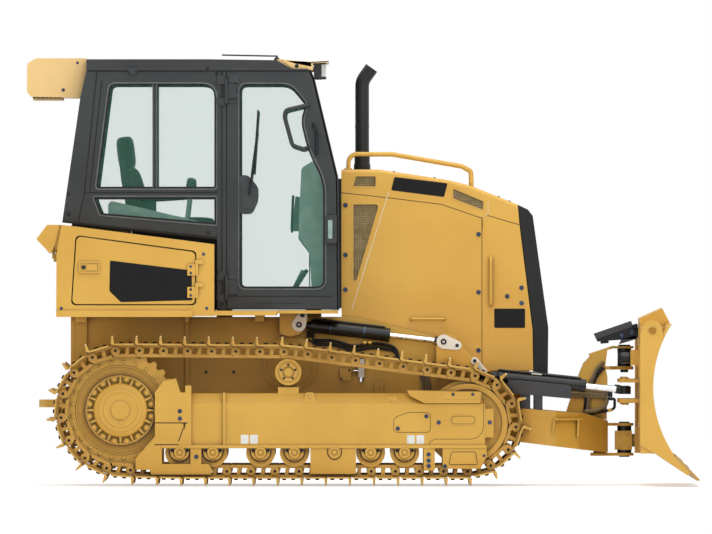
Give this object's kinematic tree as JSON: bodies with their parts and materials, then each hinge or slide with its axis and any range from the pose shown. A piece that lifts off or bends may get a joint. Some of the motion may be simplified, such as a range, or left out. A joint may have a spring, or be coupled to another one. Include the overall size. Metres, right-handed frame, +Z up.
{
  "type": "crawler bulldozer",
  "caption": "Compact crawler bulldozer with enclosed cab, steel tracks and a six-way blade on a push frame that lifts, angles and tilts.",
  "frame": {"origin": "on the ground below the middle of the whole machine, blade included", "axes": "+X forward to the blade, +Y to the operator's left, +Z up"},
  "size_m": [4.3531, 2.92, 2.7984],
  "materials": {
    "machine_paint": "satin",
    "track_steel": "satin",
    "charcoal_paint": "satin",
    "roof_paint": "satin",
    "cylinder_paint": "gloss",
    "rod_chrome": "polished",
    "exhaust_steel": "satin",
    "pane_glass": "clear",
    "cab_trim": "matte",
    "seat_cloth": "matte",
    "console_plastic": "matte",
    "hose_rubber": "matte",
    "edge_steel": "worn",
    "lamp_housing": "matte",
    "engine_iron": "rough",
    "screen_steel": "satin",
    "guard_paint": "satin",
    "pivot_steel": "satin"
  },
  "bodies": {
    "chassis": {"main_frame": "machine_paint", "final_drives": "machine_paint", "sprockets": "machine_paint", "track_frame_left": "machine_paint", "track_frame_right": "machine_paint", "idlers": "machine_paint", "track_rollers": "machine_paint", "track_left": "track_steel", "track_right": "track_steel", "engine": "engine_iron", "hood_top": "machine_paint", "hood_sides": "machine_paint", "hood_screens": "screen_steel", "radiator_guard": "charcoal_paint", "exhaust_stack": "exhaust_steel", "hood_rails": "machine_paint", "side_boxes": "machine_paint", "fuel_tank": "machine_paint", "fenders": "machine_paint", "cab_frame": "charcoal_paint", "cab_windows": "pane_glass", "cab_roof": "charcoal_paint", "roof_visor": "roof_paint", "roof_air_unit": "roof_paint", "work_lamps": "lamp_housing", "cab_floor": "cab_trim", "seat": "seat_cloth", "cab_consoles": "console_plastic"},
    "c_frame": {"c_frame": "machine_paint", "c_frame_guards": "guard_paint", "c_frame_hoses": "hose_rubber"},
    "blade_pivot": {"blade_trunnion": "pivot_steel", "tilt_knuckle": "cylinder_paint"},
    "blade": {"moldboard": "machine_paint", "cutting_edge": "edge_steel", "blade_guard": "cylinder_paint"},
    "tilt_barrel": {"tilt_barrel": "cylinder_paint"},
    "tilt_rod": {"tilt_rod": "rod_chrome"},
    "lift_barrel_left": {"lift_barrel_left": "cylinder_paint"},
    "lift_rod_left": {"lift_rod_left": "rod_chrome"},
    "angle_barrel_left": {"angle_barrel_left": "cylinder_paint"},
    "angle_rod_left": {"angle_rod_left": "rod_chrome"},
    "cab_door_left": {"cab_door_left": "charcoal_paint", "door_glass_left": "pane_glass"},
    "box_door_left": {"box_door_left": "machine_paint"},
    "lift_barrel_right": {"lift_barrel_right": "cylinder_paint"},
    "lift_rod_right": {"lift_rod_right": "rod_chrome"},
    "angle_barrel_right": {"angle_barrel_right": "cylinder_paint"},
    "angle_rod_right": {"angle_rod_right": "rod_chrome"},
    "cab_door_right": {"cab_door_right": "charcoal_paint", "door_glass_right": "pane_glass"},
    "box_door_right": {"box_door_right": "machine_paint"}
  },
  "joints": [
    {"name": "lift", "type": "hinge", "parent": "chassis", "child": "c_frame", "pos_m": [0.09, 0, 0.45], "axis": [0, -1, 0], "range_deg": [-17, 19]},
    {"name": "angle", "type": "hinge", "parent": "c_frame", "child": "blade_pivot", "pos_m": [1.7, 0, 0.29], "axis": [0, 0, 1], "range_deg": [-25, 25]},
    {"name": "tilt", "type": "hinge", "parent": "blade_pivot", "child": "blade", "pos_m": [1.7, 0, 0.29], "axis": [1, 0, 0], "range_deg": [-8, 8]},
    {"name": "lift_cylinder_swing_left", "type": "hinge", "parent": "chassis", "child": "lift_barrel_left", "pos_m": [-0.415, 0.488, 1.043], "axis": [0, -1, 0], "range_deg": [-8, 9]},
    {"name": "lift_rod_slide_left", "type": "slide", "parent": "lift_barrel_left", "child": "lift_rod_left", "axis": [0.9932, 0, -0.1165], "range_m": [-0.185, 0.165]},
    {"name": "angle_cylinder_swing_left", "type": "hinge", "parent": "c_frame", "child": "angle_barrel_left", "pos_m": [0.79, 0.475, 0.712], "axis": [-0.1014, -0.791, -0.6034], "range_deg": [-6, 6]},
    {"name": "angle_rod_slide_left", "type": "slide", "parent": "angle_barrel_left", "child": "angle_rod_left", "axis": [0.9935, -0.0491, -0.1026], "range_m": [-0.19, 0.19]},
    {"name": "cab_door_left", "type": "hinge", "parent": "chassis", "child": "cab_door_left", "pos_m": [-0.885, 0.754, 1.9], "axis": [0, 0, 1], "range_deg": [0, 95]},
    {"name": "box_door_left", "type": "hinge", "parent": "chassis", "child": "box_door_left", "pos_m": [-1.075, 0.973, 1.3], "axis": [0, 0, -1], "range_deg": [0, 90]},
    {"name": "lift_cylinder_swing_right", "type": "hinge", "parent": "chassis", "child": "lift_barrel_right", "pos_m": [-0.415, -0.488, 1.043], "axis": [0, -1, 0], "range_deg": [-8, 9]},
    {"name": "lift_rod_slide_right", "type": "slide", "parent": "lift_barrel_right", "child": "lift_rod_right", "axis": [0.9932, 0, -0.1165], "range_m": [-0.185, 0.165]},
    {"name": "angle_cylinder_swing_right", "type": "hinge", "parent": "c_frame", "child": "angle_barrel_right", "pos_m": [0.79, -0.475, 0.712], "axis": [-0.1014, 0.791, -0.6034], "range_deg": [-6, 6]},
    {"name": "angle_rod_slide_right", "type": "slide", "parent": "angle_barrel_right", "child": "angle_rod_right", "axis": [0.9935, 0.0491, -0.1026], "range_m": [-0.19, 0.19]},
    {"name": "cab_door_right", "type": "hinge", "parent": "chassis", "child": "cab_door_right", "pos_m": [-0.885, -0.754, 1.9], "axis": [0, 0, -1], "range_deg": [0, 95]},
    {"name": "box_door_right", "type": "hinge", "parent": "chassis", "child": "box_door_right", "pos_m": [-1.075, -0.973, 1.3], "axis": [0, 0, 1], "range_deg": [0, 90]},
    {"name": "tilt_cylinder_swing", "type": "hinge", "parent": "blade_pivot", "child": "tilt_barrel", "pos_m": [1.7, -0.02, 0.828], "axis": [1, 0, 0], "range_deg": [-9.5, 9.5]},
    {"name": "tilt_rod_slide", "type": "slide", "parent": "tilt_barrel", "child": "tilt_rod", "axis": [0, -1, 0], "range_m": [-0.08, 0.08]}
  ],
  "couplings": [
    {"joint": "lift_cylinder_swing_left", "follows": "lift", "ratio": 0.3904},
    {"joint": "lift_rod_slide_left", "follows": "lift", "m_per_rad": -0.5316},
    {"joint": "angle_cylinder_swing_left", "follows": "tilt", "ratio": 0.5897},
    {"joint": "angle_rod_slide_left", "follows": "angle", "m_per_rad": -0.4123},
    {"joint": "lift_cylinder_swing_right", "follows": "lift", "ratio": 0.3904},
    {"joint": "lift_rod_slide_right", "follows": "lift", "m_per_rad": -0.5316},
    {"joint": "angle_cylinder_swing_right", "follows": "tilt", "ratio": 0.5897},
    {"joint": "angle_rod_slide_right", "follows": "angle", "m_per_rad": 0.4123},
    {"joint": "tilt_cylinder_swing", "follows": "tilt", "ratio": 1.0747},
    {"joint": "tilt_rod_slide", "follows": "tilt", "m_per_rad": 0.5359}
  ]
}
